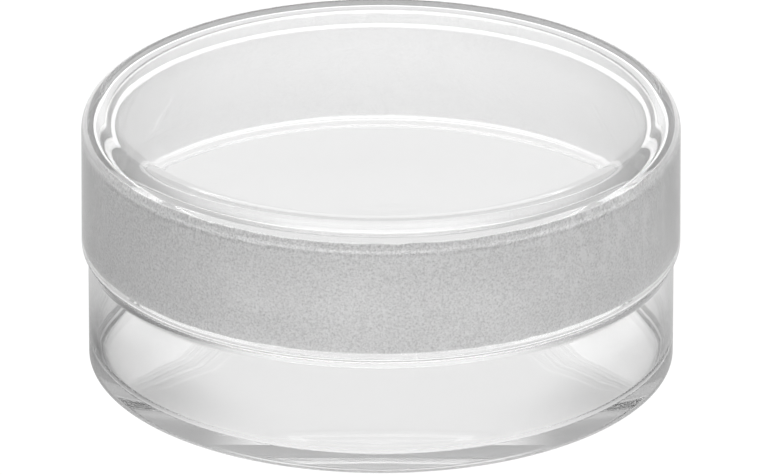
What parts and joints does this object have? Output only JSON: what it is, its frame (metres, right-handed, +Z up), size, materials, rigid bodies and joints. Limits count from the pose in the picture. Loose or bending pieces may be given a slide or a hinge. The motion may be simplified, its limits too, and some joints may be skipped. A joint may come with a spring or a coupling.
{
  "type": "covered glass dish",
  "caption": "Low round covered glass laboratory dish: a clear flat-bottomed dish with a frosted ground neck, and a deep overlapping lift-off lid with a matching frosted skirt.",
  "frame": {"origin": "centre of the dish's flat underside, where it stands on the bench", "axes": "+Z up along the axis of revolution, from the dish's underside to the lid's top; X and Y lie in the bench plane and are equivalent"},
  "size_m": [0.065, 0.065, 0.029],
  "materials": {
    "dish_glass": "clear polished glass, satin ground neck",
    "lid_glass": "clear polished glass, satin ground skirt inside"
  },
  "bodies": {
    "dish": {"dish": "dish_glass"},
    "lid": {"lid": "lid_glass"}
  },
  "joints": [
    {"name": "lid_lift", "type": "slide", "parent": "dish", "child": "lid", "axis": [0, 0, 1], "range_m": [0, 0.03]}
  ]
}
